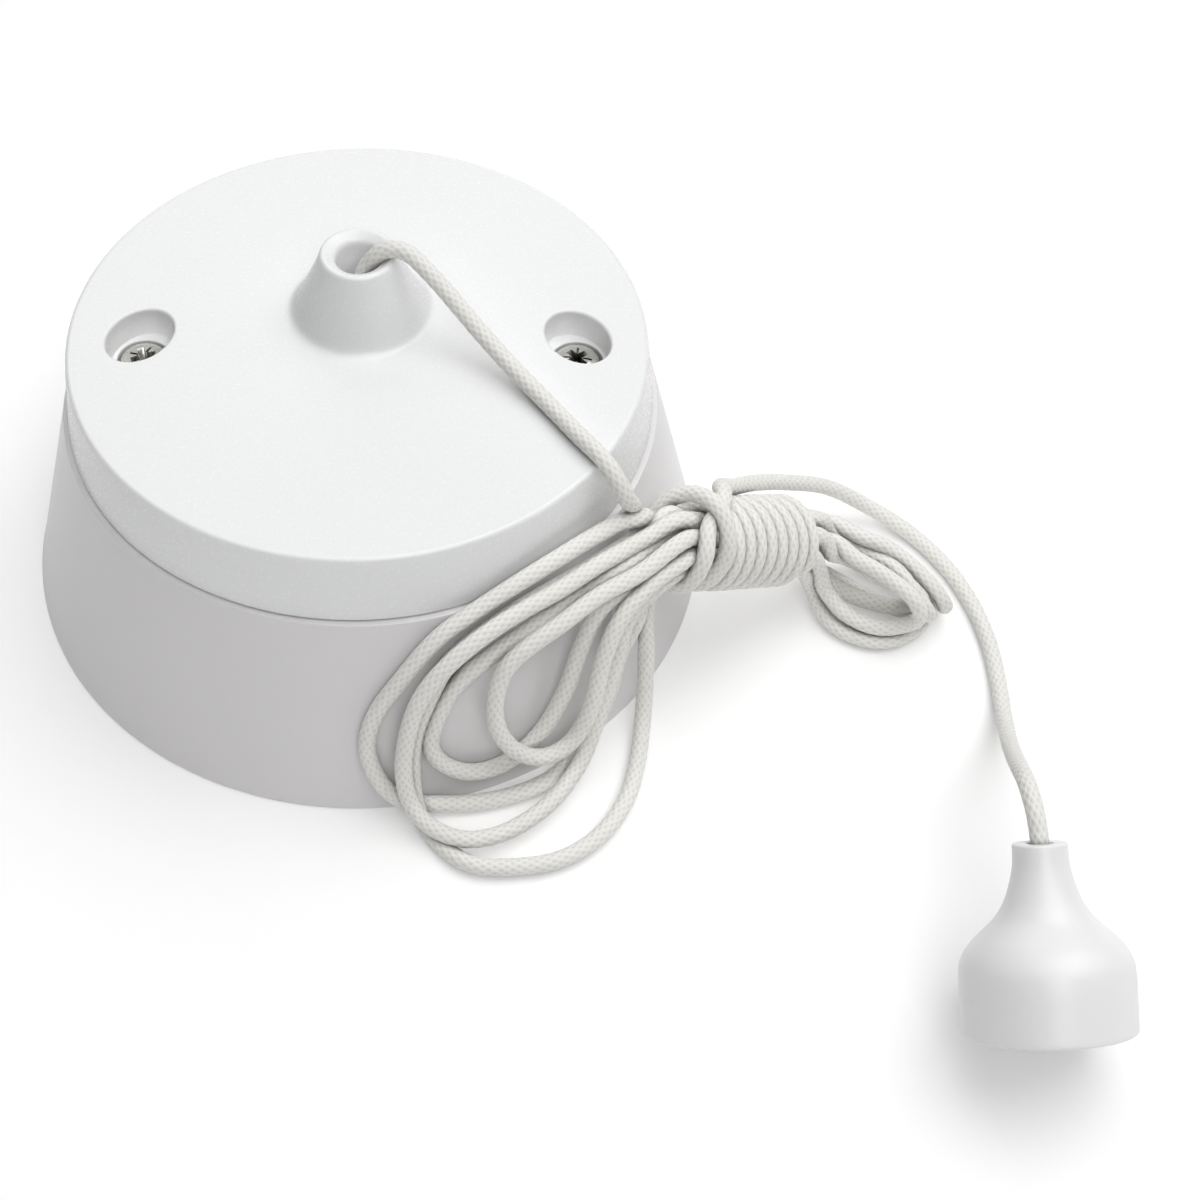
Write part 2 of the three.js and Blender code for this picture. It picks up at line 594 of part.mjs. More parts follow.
// ---- assembly ----
piece('pattress_box', backBox(), ureaBase);
piece('cover', cover(), urea);
for (const [word, side] of [['left', -1], ['right', 1]]) {
  piece(`thread_insert_${word}`, threadInsert(side), brass);
  piece(`cover_screw_${word}`, coverScrew(side), steel);
}
piece('mechanism_case', mechanismCase(), innerPlastic);
piece('mechanism_lid', mechanismLid(), innerPlastic);
piece('case_screw_front', caseScrew(CASE.y0 - 4), steel);
piece('case_screw_back', caseScrew(CASE.y1 + 4), steel);
for (const [word, y] of Object.entries(TERMINAL_YS)) {
  piece(`terminal_${word}`, terminal(y), brass);
  piece(`terminal_screw_${word}`, terminalScrew(y), steel);
}
piece('earth_terminal', earthTerminal(), brass);
piece('earth_screw', earthScrew(), steel);
piece('ratchet_axle', bar('y', AXLE_R, CASE.y0 + 0.2, CASE.y1 - 0.2, WHEEL_X, WHEEL_Z), steel);
piece('contact_pin', bar('y', 0.8, 7.6, CASE.y1 - 0.2, ARM_X - ARM_T / 2, ARM_PIVOT_Z, 16), steel);
piece('detent_leaf', detentLeaf(), springSteel);
piece('fixed_contact', fixedContact(), brass);
piece('common_strip', commonStrip(), brass);
piece('ratchet_cam', ratchetCam(), acetal);
piece('moving_contact', movingContact(), brass);
piece('cord_slider', cordSlider(), acetal);
piece('drive_pawl', drivePawl(), springSteel);
piece('return_spring', returnSpring(), springSteel);
piece('slider_knot', knot(new THREE.Vector3(0, CORD_Y, SLIDER.z0 - GAP - KNOT_R)), nylonCord);
piece('cord_lead', tube(LEAD_ROUTE, CORD_D, CORD_SIDES, 36), nylonCord);
piece('cord_hank_left', leftLoops(), nylonCord);
piece('cord_windings', windings(), nylonCord);
piece('cord_hank_right', rightLoops(), nylonCord);
piece('cord_tail', tube(TAIL_ROUTE, CORD_D, CORD_SIDES, 44), nylonCord);
piece('bell_pull', bellPull(), bellPlastic);
piece('bell_knot', knot(BELL_MOUTH.clone().addScaledVector(BELL_AXIS, 13.1)), nylonCord);

export default group;
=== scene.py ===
import math
import bmesh
import bpy
import numpy as np
from mathutils import Matrix, Vector


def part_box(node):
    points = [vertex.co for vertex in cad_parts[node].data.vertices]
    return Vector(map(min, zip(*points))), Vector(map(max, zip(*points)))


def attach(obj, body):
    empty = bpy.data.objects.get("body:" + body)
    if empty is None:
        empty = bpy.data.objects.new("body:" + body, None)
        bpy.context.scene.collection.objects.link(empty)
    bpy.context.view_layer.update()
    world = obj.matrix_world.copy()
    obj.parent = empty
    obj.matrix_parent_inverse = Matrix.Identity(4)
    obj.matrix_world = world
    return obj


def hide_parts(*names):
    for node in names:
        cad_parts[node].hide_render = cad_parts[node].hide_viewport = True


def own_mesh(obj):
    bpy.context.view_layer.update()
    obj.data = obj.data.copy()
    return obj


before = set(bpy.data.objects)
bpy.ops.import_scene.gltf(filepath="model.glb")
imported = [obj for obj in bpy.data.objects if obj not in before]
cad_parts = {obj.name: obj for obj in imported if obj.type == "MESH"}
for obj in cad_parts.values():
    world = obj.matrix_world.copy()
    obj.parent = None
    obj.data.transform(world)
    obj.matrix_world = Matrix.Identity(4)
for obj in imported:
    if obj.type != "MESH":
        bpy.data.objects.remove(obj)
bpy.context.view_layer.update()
MM = 0.001

# ---------------------------------------------------------------- camera
CAMERA_PLACE = (16.139, -199.128, 240.319)
CAMERA_RIGHT = (0.99814, -0.04047, 0.04557)
CAMERA_BACK = (-0.06081, -0.61062, 0.78958)
camera = bpy.data.objects.new("camera", bpy.data.cameras.new("camera"))
camera.data.lens = 60.0
camera.data.sensor_width = 36.0
camera.data.clip_start = 0.01
camera.data.clip_end = 10.0
back = Vector(CAMERA_BACK).normalized()
up = back.cross(Vector(CAMERA_RIGHT)).normalized()
right = up.cross(back)
turn = Matrix((right, up, back)).transposed().to_4x4()
camera.matrix_world = Matrix.Translation(Vector(CAMERA_PLACE) * MM) @ turn
bpy.context.scene.collection.objects.link(camera)
bpy.context.scene.camera = camera

# ---------------------------------------------------------------- sizes in millimetres, as in the CAD
FOOT_R = 50.2
BOX_TOP_R = 41.9
SEAM_Z = 32.0
SKIRT_R = 41.5
COVER_TOP_R = 40.06
COVER_TOP_Z = 42.8
COVER_PLATE = 2.5
BACK_PLATE = 2.5
CORD_Y = 5.5
CORD_D = 2.4
SCREW_X = 30.15
WELL_LONG = 5.35
WELL_SHORT = 4.15
WELL_LEAN = 56.0
WELL_DEPTH = 4.7
WELL_WALL = 1.0
HEAD_R = 3.35
HEAD_H = 2.3
HEAD_PROUD = 0.4
SEAT_R = 3.7
ENTRY_R = 10
SLOT_R = 2.3
SLOT_HALF = 4
SLOT_Y = 25.4
BELL_MOUTH = np.array([88.3, -89.8, 9.0])
BELL_AXIS = np.array([-0.047, 0.796, 0.604])
BELL_AXIS /= np.linalg.norm(BELL_AXIS)

# ---------------------------------------------------------------- cord: route
# from the slider's knot through the cone and over the cover's edge to the windings
LEAD = [
    [0, 5.5, 15.2], [0, 5.5, 32], [0, 5.5, 42], [0.2, 5.3, 47.4], [0.8, 4.95, 50.2], [2.1, 4.8, 52.7],
    [4.2, 4.7, 54.5], [6.8, 3.8, 54.7], [9.4, 2, 53.2], [12, 0, 51.2], [16.5, -4.2, 47.9],
    [20.5, -8.2, 45.6], [25, -13.4, 44.3], [29.8, -20.2, 44.2], [32.8, -24.1, 43.9], [35, -25.9, 41.0],
    [36.3, -25.6, 37.2], [38.4, -24.0, 32.6],
]
LEAD_LOOSE = 3  # points at its end that may give way
# from the windings to the knot in the bell
TAIL = [
    [52, -13.5, 26.4], [56.5, -8, 21], [63, -2, 14.2], [70.5, 2.3, 8], [77.5, 2.4, 3.2],
    [83.7, -1.5, 1.5], [88.4, -7.9, 1.3], [91.2, -14.6, 1.3], [92.8, -22.2, 1.3], [93.1, -30, 1.3],
    [92.4, -37, 3], [90.8, -44.5, 8], [89, -51.5, 14.5], [87.4, -58, 21], [86.6, -63.5, 25.2],
    [86.8, -68, 25.3], [87.2, -70.7, 23.4], [87.5, -75.5, 19.7],
]
# the loops of the hank on each side of the windings, in the order and the direction that the cord takes
LEFT_LOOPS = [
    [[38, -24.5, 33.5], [32.5, -29, 35], [27, -33.5, 35.5], [21.5, -37, 34.5], [16.5, -39.5, 32.5],
     [11, -42.5, 30], [6, -45, 24], [2.5, -46.5, 18.5], [1, -48, 13], [2, -49.5, 8], [4.5, -50.5, 4],
     [9.5, -50.5, 2], [16.5, -50, 1.5], [22, -48.5, 1.5], [26, -46.5, 1.5], [29.5, -43, 1.5], [32, -39.5, 2.5],
     [34.5, -36, 6.5], [36, -33, 13], [38.5, -31, 20]],
    [[38.5, -28, 32], [32.5, -33, 33.5], [27, -37, 33], [21.5, -40, 32], [16.5, -43, 30.5], [12, -45.5, 27.5],
     [8.5, -47.5, 23], [6.5, -49.5, 16.5], [6, -51.5, 9.5], [7.5, -53, 4], [11, -56, 3], [15.5, -57, 3],
     [20.5, -55.5, 3], [26, -51.5, 3.5], [30.5, -45, 4], [33, -40.5, 9.5], [35, -37, 17], [37, -34, 24]],
    [[38, -30, 31], [32.5, -34, 31], [27, -37, 29], [22, -39.5, 26.5], [17.5, -42, 24.5], [13.5, -44, 22],
     [11, -46, 18], [9.5, -47.5, 13], [11, -48, 8.5], [15, -48, 6], [20, -46, 5.5], [24.5, -43.5, 8.5],
     [28, -40.5, 14.5], [30, -38, 21], [32.5, -36, 27], [36.5, -33.5, 29.5]],
    [[38, -33, 31.5], [32, -37, 31.5], [27, -40.5, 30], [23, -42.5, 28], [20, -44, 25.5], [18.5, -45.5, 21],
     [18.5, -47, 16.5], [20.5, -47.5, 11.5], [24.5, -47, 8], [28.5, -45, 8], [31.5, -43, 14], [33, -40, 21],
     [35, -37.5, 26.5], [38, -34.5, 29]],
    [[39, -25, 30.5], [34, -29.5, 31], [28.5, -34, 31.5], [23, -37.5, 31], [17.5, -40.5, 29],
     [12.5, -43, 25.5], [9.5, -45.5, 20], [7.5, -47.5, 13.5], [7, -49.5, 6.5], [8, -52.5, 1.5], [11, -57, 1.5],
     [15, -60, 1.5], [20.5, -60.5, 1.5], [27, -59.5, 1.5], [32.5, -56, 1.5], [36.8, -49.8, 1.5],
     [39, -42, 1.5], [39.8, -36.5, 3], [40, -33, 8.5], [39.8, -31.3, 14.5],
     [39.4, -30.3, 20]],
]
RIGHT_LOOPS = [
    [[72.5, -7, 3], [78, -9, 1.5], [83, -11.5, 1.5], [86, -15, 2], [86, -19, 5.5], [84.5, -19, 8.5],
     [81.5, -16.5, 10.5], [78, -14, 12], [73.5, -12, 13], [69, -10, 13.5]],
    [[71.5, -12.3, 2.8], [76, -14.5, 1.5], [80.5, -16.6, 1.5], [83.6, -19, 3.4], [82.3, -21.2, 7.6],
     [79.8, -19.8, 10.4], [77.4, -16.2, 11.1], [74, -13.1, 11.3], [70, -10.5, 11]],
    [[66.5, -15, 4.5], [68, -17.5, 2], [71.5, -21, 1.5], [77, -22.5, 1.5], [81.5, -20.5, 1.5], [84, -17, 1.5],
     [83, -14, 2.5], [79, -11.5, 4], [73.5, -9.5, 6]],
    [[68, -13, 5.2], [71.1, -14.4, 3.4], [75.1, -16.1, 3], [79, -17, 2.8], [82, -18, 5.4], [81, -19.4, 8.8],
     [77.9, -18.5, 10.4], [73.7, -15.5, 10.6], [70.4, -12.8, 10]],
    [[68.2, -16.6, 6], [71.8, -19.8, 4], [76, -21.8, 3.9], [79.8, -21.3, 4], [82.2, -22, 7],
     [80.2, -21, 10], [77, -18.8, 11.5], [73, -16, 12.2], [69, -13.5, 12.5]],
]
BUNDLE_LEFT = np.array([43.1, -25.4, 28.0])
BUNDLE_RIGHT = np.array([60.3, -15.2, 16.6])
AXIS = (BUNDLE_RIGHT - BUNDLE_LEFT) / np.linalg.norm(BUNDLE_RIGHT - BUNDLE_LEFT)
AXIS_UP = np.array([0.004, 0.79, 0.61])
AXIS_UP -= AXIS * AXIS_UP.dot(AXIS)
AXIS_UP /= np.linalg.norm(AXIS_UP)
AXIS_FRONT = np.cross(AXIS, AXIS_UP)
if AXIS_FRONT.dot(np.array(back)) < 0:
    AXIS_FRONT = -AXIS_FRONT

# the angle and radius of each of the eleven runs inside the windings
RUNS = [
    (280, 3.3), (320, 3.3), (240, 3.3), (40, 3.3), (160, 3.3), (0, 1.1),
    (180, 1.1), (80, 3.3), (120, 3.3), (0, 3.3), (200, 3.3),
]
RUN_PLACES = (4, 8, 11.5, 15, 19)
RUN_ENDS = (-2.2, 25)
LAST_PLACES = (4, 8, 12, 16)
FRONT_RUNS = 160  # the greatest angle of a run that lies in front
SPREAD = 1.35  # how much wider the runs in front lie at the two ends of the windings
# the windings, from the right end to the left one
TURN_R = 5.6
TURN_PITCH = 2.3
TURN_STEPS = 16
TURN_POINTS = 125
TURNS_FROM = 22.9
TURNS_ANGLE = 100
# the last run comes out to the windings, as places along the bundle, angles and radii
RISE = [(19.5, 192, 3.9), (22.4, 165, 4.8), (23.2, 130, 5.5)]
# the last turn but one crosses over the last, which comes up beside it as the tail
LOCK = [
    (4.4, 115, 5.8), (3.4, 85, 6.9), (2.6, 60, 7.9), (1.9, 35, 7.8), (1.4, 10, 7.1), (0.9, -20, 6.3),
    (0.7, -60, 5.6), (0.7, -110, 5.6), (0.8, -160, 5.6), (0.7, -200, 5.6), (0.4, -250, 5.6), (0.8, -282, 5.6),
    (2.1, -300, 5.8), (4.0, -312, 7.0), (6.2, -330, 7.9), (8.8, -352, 8.0),
]
FREE, HELD, CORE = 0, 1, 2

STEP = 1.0
MARK_WINDOW = 60  # steps ahead in which the next given point is found

# the relaxation
ROUNDS = 260
SEARCH_EVERY = 10
SEARCH_MARGIN = 3.0
ALONG = 6  # steps between two points of the cord that can meet
GAP = 2.2
PUSH = 0.35
SMOOTH = 0.35
STRAIGHTEN = 0.3
HOME = 0.05
HOME_IN_DEPTH = 0.01
EASY_BEND = 5.0
# how far a point may stand off the chord three steps each way, at a bend of that radius
BEND_LIMIT = (3 * STEP) ** 2 / (2 * EASY_BEND)
OFF_WALL = 1.26
OVER_COVER = 0.6
# the final line
FINE_STEP = 0.45
FINE_ROUNDS = 3


def even(p, step):
    """The same line with its points at even steps."""
    along = np.concatenate([[0], np.cumsum(np.linalg.norm(np.diff(p, axis=0), axis=1))])
    s = np.linspace(0, along[-1], max(2, int(round(along[-1] / step)) + 1))
    return np.stack([np.interp(s, along, p[:, k]) for k in range(3)], 1)


def dense(points, step, parts=24):
    """The centripetal Catmull-Rom curve through the points, at even steps."""
    p = np.array(points, float)
    p = np.vstack([2 * p[0] - p[1], p, 2 * p[-1] - p[-2]])
    out = []
    for i in range(1, len(p) - 2):
        p0, p1, p2, p3 = p[i - 1:i + 3]
        t0 = 0.0
        t1 = t0 + math.sqrt(np.linalg.norm(p1 - p0))
        t2 = t1 + math.sqrt(np.linalg.norm(p2 - p1))
        t3 = t2 + math.sqrt(np.linalg.norm(p3 - p2))
        for t in np.linspace(t1, t2, parts, endpoint=False):
            a1 = (t1 - t) / (t1 - t0) * p0 + (t - t0) / (t1 - t0) * p1
            a2 = (t2 - t) / (t2 - t1) * p1 + (t - t1) / (t2 - t1) * p2
            a3 = (t3 - t) / (t3 - t2) * p2 + (t - t2) / (t3 - t2) * p3
            b1 = (t2 - t) / (t2 - t0) * a1 + (t - t0) / (t2 - t0) * a2
            b2 = (t3 - t) / (t3 - t1) * a2 + (t - t1) / (t3 - t1) * a3
            out.append((t2 - t) / (t2 - t1) * b1 + (t - t1) / (t2 - t1) * b2)
    out.append(p[-2])
    return even(np.array(out), step)


def in_bundle(t, angle, radius):
    """A point t mm along the bundle, at an angle from its top towards its front."""
    a = math.radians(angle)
    return BUNDLE_LEFT + AXIS * t + radius * (math.cos(a) * AXIS_UP + math.sin(a) * AXIS_FRONT)


def cord_route():
    """The cord's line at even steps, and whether each point may move, is held, or runs in the windings."""
    points, kinds = [], []

    def put(items, kind):
        points.extend(list(map(list, items)))
        kinds.extend([kind] * len(items))

    def run(angle, radius, places, ends):
        wide = SPREAD if angle <= FRONT_RUNS else 1
        put([in_bundle(ends[0], angle, radius * wide)], FREE)
        put([in_bundle(t, angle, radius) for t in places], CORE)
        put([in_bundle(t, angle, radius * wide) for t in ends[1:]], FREE)

    put(LEAD[:-LEAD_LOOSE], HELD)
    put(LEAD[-LEAD_LOOSE:], FREE)
    for k, (right_loop, left_loop) in enumerate(zip(RIGHT_LOOPS, LEFT_LOOPS)):
        run(*RUNS[2 * k], RUN_PLACES, RUN_ENDS)
        put(right_loop, FREE)
        run(*RUNS[2 * k + 1], RUN_PLACES[::-1], RUN_ENDS[::-1])
        put(left_loop, FREE)
    run(*RUNS[-1], LAST_PLACES, RUN_ENDS[:1])
    put([in_bundle(*place) for place in RISE], CORE)
    put([
        in_bundle(TURNS_FROM - TURN_PITCH * k / TURN_STEPS, TURNS_ANGLE - 360 / TURN_STEPS * k, TURN_R)
        for k in range(TURN_POINTS)
    ], CORE)
    put([in_bundle(*place) for place in LOCK], HELD)
    put(TAIL, HELD)
    p = dense(points, STEP)
    # each given point's place on the line, found in order
    at = 0
    marks = []
    for given in np.array(points):
        window = p[at:at + MARK_WINDOW]
        at += int(np.argmin(np.linalg.norm(window - given, axis=1)))
        marks.append(at)
    kind = np.full(len(p), FREE)
    for i in range(len(points) - 1):
        kind[marks[i]:marks[i + 1] + 1] = kinds[i] if kinds[i] == kinds[i + 1] else FREE
    return p, kind


def wall_radius(z):
    """The outside of the housing at each height, and 0 above it."""
    box = FOOT_R - (FOOT_R - BOX_TOP_R) * z / SEAM_Z
    skirt = SKIRT_R - (SKIRT_R - COVER_TOP_R) * (z - SEAM_Z) / (COVER_TOP_Z - SEAM_Z)
    return np.where(z < SEAM_Z, box, np.where(z < COVER_TOP_Z + OVER_COVER, skirt, 0.0))


def relaxed(p, kind):
    """The free points give way where strands meet each other or the housing, and where a bend is sharp."""
    home = p.copy()
    view = np.array(back)
    free = (kind == FREE).astype(float)[:, None]
    n = len(p)
    pairs = np.triu(np.ones((n, n), bool), ALONG)
    for round_no in range(ROUNDS):
        if round_no % SEARCH_EVERY == 0:
            d2 = ((p[:, None, :] - p[None, :, :]) ** 2).sum(2)
            near = np.argwhere(pairs & (d2 < (GAP + SEARCH_MARGIN) ** 2))
        i, j = near[:, 0], near[:, 1]
        d = p[j] - p[i]
        length = np.linalg.norm(d, axis=1) + 1e-9
        share = free[i] + free[j]
        hit = (length < GAP) & (share[:, 0] > 0)
        i, j, d, length, share = i[hit], j[hit], d[hit], length[hit], share[hit]
        push = d / length[:, None] * (GAP - length)[:, None] * PUSH
        move = np.zeros_like(p)
        count = np.zeros((n, 1))
        np.add.at(move, i, -push * free[i] / share)
        np.add.at(move, j, push * free[j] / share)
        np.add.at(count, i, 1)
        np.add.at(count, j, 1)
        p = p + move / np.maximum(1, count * 0.5)
        smooth = np.zeros_like(p)
        smooth[2:-2] = (-p[:-4] + 4 * p[1:-3] + 4 * p[3:-1] - p[4:]) / 6 - p[2:-2]
        bend = np.zeros_like(p)
        bend[3:-3] = (p[:-6] + p[6:]) / 2 - p[3:-3]
        sharp = np.clip(np.linalg.norm(bend, axis=1) / BEND_LIMIT - 1, 0, 1)[:, None]
        pull_back = home - p
        depth = (pull_back @ view)[:, None] * view
        homing = HOME * (pull_back - depth) + HOME_IN_DEPTH * depth
        p = p + free * (SMOOTH * smooth + STRAIGHTEN * sharp * bend + (1 - sharp) * homing)
        p[:, 2] = np.where(kind == FREE, np.maximum(p[:, 2], CORD_D / 2), p[:, 2])
        r = np.hypot(p[:, 0], p[:, 1])
        need = wall_radius(p[:, 2]) + OFF_WALL
        inside = (kind == FREE) & (p[:, 2] < COVER_TOP_Z + OVER_COVER) & (r < need)
        scale = np.where(inside, need / np.maximum(r, 1e-6), 1.0)
        p[:, 0] *= scale
        p[:, 1] *= scale
    return p


route = relaxed(*cord_route())
fine = dense(route, FINE_STEP)
for _ in range(FINE_ROUNDS):
    fine[1:-1] = 0.5 * fine[1:-1] + 0.25 * (fine[:-2] + fine[2:])
fine = even(fine, FINE_STEP)

# ---------------------------------------------------------------- mesh helpers
AROUND = 8  # stitches round the cord
WEAVE_PITCH = 1.6
TUBE_END = 0.4


def link(name, mesh):
    piece = bpy.data.objects.new(name, mesh)
    bpy.context.scene.collection.objects.link(piece)
    return piece


def tube(name, path, diameter, sides, relief=0.0):
    """A round tube along a path in millimetres, with a woven relief and a UV map along it."""
    n = len(path)
    tangent = np.gradient(path, axis=0)
    tangent /= np.linalg.norm(tangent, axis=1)[:, None]
    side = np.cross(tangent[0], [0, 0, 1.0])
    if np.linalg.norm(side) < 0.2:
        side = np.cross(tangent[0], [0, 1.0, 0])
    side /= np.linalg.norm(side)
    sides_at = np.zeros_like(path)
    for k in range(n):
        side = side - tangent[k] * side.dot(tangent[k])
        side /= np.linalg.norm(side)
        sides_at[k] = side
    other = np.cross(tangent, sides_at)
    s = np.concatenate([[0], np.cumsum(np.linalg.norm(np.diff(path, axis=0), axis=1))])
    angle = 2 * math.pi * np.arange(sides) / sides
    weave = np.cos(AROUND * angle)[None, :] * np.cos(2 * math.pi * s / WEAVE_PITCH)[:, None]
    radius = diameter / 2 - relief + relief * weave
    outward = (
        np.cos(angle)[None, :, None] * sides_at[:, None, :]
        + np.sin(angle)[None, :, None] * other[:, None, :]
    )
    ring = path[:, None, :] + radius[:, :, None] * outward
    tips = [path[0] - tangent[0] * TUBE_END, path[-1] + tangent[-1] * TUBE_END]
    verts = np.vstack([ring.reshape(-1, 3), *tips]) * MM
    i = np.arange(n - 1)[:, None] * sides
    a = np.arange(sides)[None, :]
    b = (a + 1) % sides
    quads = np.stack([i + a, i + b, i + sides + b, i + sides + a], 2).reshape(-1, 4)
    first, last = n * sides, n * sides + 1
    end = (n - 1) * sides
    faces = quads.tolist()
    faces += [[first, (k + 1) % sides, k] for k in range(sides)]
    faces += [[last, end + k, end + (k + 1) % sides] for k in range(sides)]
    mesh = bpy.data.meshes.new(name)
    mesh.from_pydata(verts.tolist(), [], faces)
    uv = mesh.uv_layers.new(name="weave")
    u0 = np.broadcast_to((a / sides), (n - 1, sides))
    u1 = u0 + 1 / sides
    v0 = np.broadcast_to(s[:-1, None] / WEAVE_PITCH, (n - 1, sides))
    v1 = np.broadcast_to(s[1:, None] / WEAVE_PITCH, (n - 1, sides))
    corners = [np.stack(pair, 2) for pair in ((u0, v0), (u1, v0), (u1, v1), (u0, v1))]
    quad_uv = np.stack(corners, 2).reshape(-1, 2)
    ends = np.zeros((sides * 6, 2))
    uv.data.foreach_set("uv", np.vstack([quad_uv, ends]).astype(np.float32).ravel())
    mesh.polygons.foreach_set("use_smooth", [True] * len(mesh.polygons))
    return link(name, mesh)


class Shell:
    """A closed mesh made of rings joined by strips, and flat faces with holes."""

    def __init__(self, name):
        self.name = name
        self.bm = bmesh.new()
        self.creases = set()

    def ring(self, points):
        return [self.bm.verts.new(Vector(p) * MM) for p in points]

    def circle(self, radius, z, n, centre=(0, 0)):
        angles = [2 * math.pi * k / n for k in range(n)]
        return self.ring([
            (centre[0] + radius * math.cos(a), centre[1] + radius * math.sin(a), z) for a in angles
        ])

    def oval(self, side, grow, z, n):
        """The outline of a screw well, leaning towards the middle of the cover's far edge."""
        lean = math.radians(WELL_LEAN if side < 0 else 180 - WELL_LEAN)
        points = []
        for k in range(n):
            a = 2 * math.pi * k / n - lean
            x = (WELL_LONG + grow) * math.cos(a)
            y = (WELL_SHORT + grow) * math.sin(a)
            points.append((
                side * SCREW_X + x * math.cos(lean) - y * math.sin(lean),
                x * math.sin(lean) + y * math.cos(lean),
                z,
            ))
        return self.ring(points)

    def strip(self, first, second):
        n = len(first)
        for k in range(n):
            self.bm.faces.new((first[k], first[(k + 1) % n], second[(k + 1) % n], second[k]))

    def strips(self, rings):
        for first, second in zip(rings, rings[1:]):
            self.strip(first, second)

    def turned(self, profile, n, centre=(0, 0)):
        """Rings for a turned profile of (radius, height) pairs, joined by strips."""
        rings = [self.circle(r, z, n, centre) for r, z in profile]
        self.strips(rings)
        return rings

    def flat(self, loops, crease=True):
        """A flat face between closed loops of vertices."""
        edges = []
        for loop in loops:
            for pair in zip(loop, loop[1:] + loop[:1]):
                edge = self.bm.edges.get(pair)
                if edge is None:
                    edge = self.bm.edges.new(pair)
                edges.append(edge)
                if crease:
                    self.creases.add(edge)
        bmesh.ops.triangle_fill(self.bm, edges=edges, use_beauty=False, use_dissolve=False)

    def done(self, sharp=32):
        """The finished piece, with hard edges where its faces meet at more than an angle in degrees."""
        bm = self.bm
        bmesh.ops.recalc_face_normals(bm, faces=bm.faces)
        limit = math.radians(sharp)
        for face in bm.faces:
            face.smooth = True
        for edge in bm.edges:
            edge.smooth = not (edge in self.creases or edge.calc_face_angle(0) > limit)
        mesh = bpy.data.meshes.new(self.name)
        bm.to_mesh(mesh)
        bm.free()
        return link(self.name, mesh)


def arc(cx, cz, radius, start, stop, steps):
    """Points of a rounded edge in a turned profile."""
    angles = [math.radians(start + (stop - start) * k / steps) for k in range(steps + 1)]
    return [(cx + radius * math.cos(a), cz + radius * math.sin(a)) for a in angles]


def soft_profile(points, step):
    """A smooth curve through the points of a profile."""
    line = dense([(r, z, 0) for r, z in points], step)
    return [(float(r), float(z)) for r, z, _ in line]


# ---------------------------------------------------------------- cover
RIM_STEPS = 256
CONE_STEPS = 128
WELL_STEPS = 96
ENTRY_STEPS = 96
SLOT_STEPS = 48
PILLAR_STEPS = 48
SHANK_HOLE_R = 2.05


def make_well(s, side):
    """A screw well from the cover's face down through the seat of the screw and up to the inner face."""
    x = side * SCREW_X
    n = WELL_STEPS
    floor_z = COVER_TOP_Z - WELL_DEPTH
    seat_z = floor_z - HEAD_H
    under_z = seat_z - WELL_WALL
    lip = [(0.34, 0), (0.2, -0.05), (0.08, -0.16), (0.02, -0.32), (0, -0.6)]
    floor_edge = [(0, 0.35), (-0.06, 0.14), (-0.2, 0.03), (-0.36, 0)]
    well = [s.oval(side, grow, COVER_TOP_Z + dz, n) for grow, dz in lip]
    well += [s.oval(side, grow, floor_z + dz, n) for grow, dz in floor_edge]
    seat = [
        (SEAT_R + 0.12, floor_z), (SEAT_R + 0.02, floor_z - 0.12), (SEAT_R, floor_z - 0.4), (SEAT_R, seat_z),
    ]
    shank_hole = [(SHANK_HOLE_R, seat_z), (SHANK_HOLE_R, under_z)]
    well += [s.circle(r, z, n, (x, 0)) for r, z in seat + shank_hole]
    outside = [(WELL_WALL - 0.3, under_z), (WELL_WALL, under_z + 0.3), (WELL_WALL, COVER_TOP_Z - COVER_PLATE)]
    well += [s.oval(side, grow, z, n) for grow, z in outside]
    s.strips(well)
    return well[0], well[-1]


def make_cover():
    s = Shell("cover_moulding")
    plate_z = COVER_TOP_Z - COVER_PLATE
    outer = arc(39.42, 42.18, 0.62, 90, 4, 7) + [(40.2, 41.2), (40.65, 37.2), (41.24, 32.3)]
    outer += arc(41.09, 32.16, 0.16, 0, -90, 4) + arc(39.62, 32.22, 0.22, -90, -180, 4)
    outer += [(37.9, plate_z)]
    rings = s.turned(outer, RIM_STEPS)
    # the cone, as radii and heights over the cover: its flared foot, its rim, and its dished mouth
    foot = soft_profile([
        (10.9, 0), (10.2, 0.06), (9.65, 0.3), (9.2, 0.85), (8.75, 1.7), (8.2, 2.9), (7.3, 4.9), (6.35, 7.0),
        (5.8, 8.4), (5.45, 9.4),
    ], 0.35)
    rim = [(5.33, 9.8), (5.2, 10.04), (5.02, 10.2), (4.8, 10.27), (4.55, 10.24), (4.3, 10.12)]
    funnel = soft_profile([
        (4.3, 10.12), (4.0, 9.93), (3.7, 9.75), (3.42, 9.55), (3.2, 9.25), (3.06, 8.7), (2.95, 7.6), (2.8, 6.3),
    ], 0.25)[1:]
    cone = [(r, z + COVER_TOP_Z) for r, z in foot + rim + funnel] + [(2.8, plate_z + 0.3), (3.0, plate_z)]
    cone_rings = s.turned(cone, CONE_STEPS, (0, CORD_Y))
    tops, foots = zip(*(make_well(s, side) for side in (-1, 1)))
    s.flat([rings[0], cone_rings[0], *tops])
    s.flat([rings[-1], cone_rings[-1], *foots])
    return s.done()


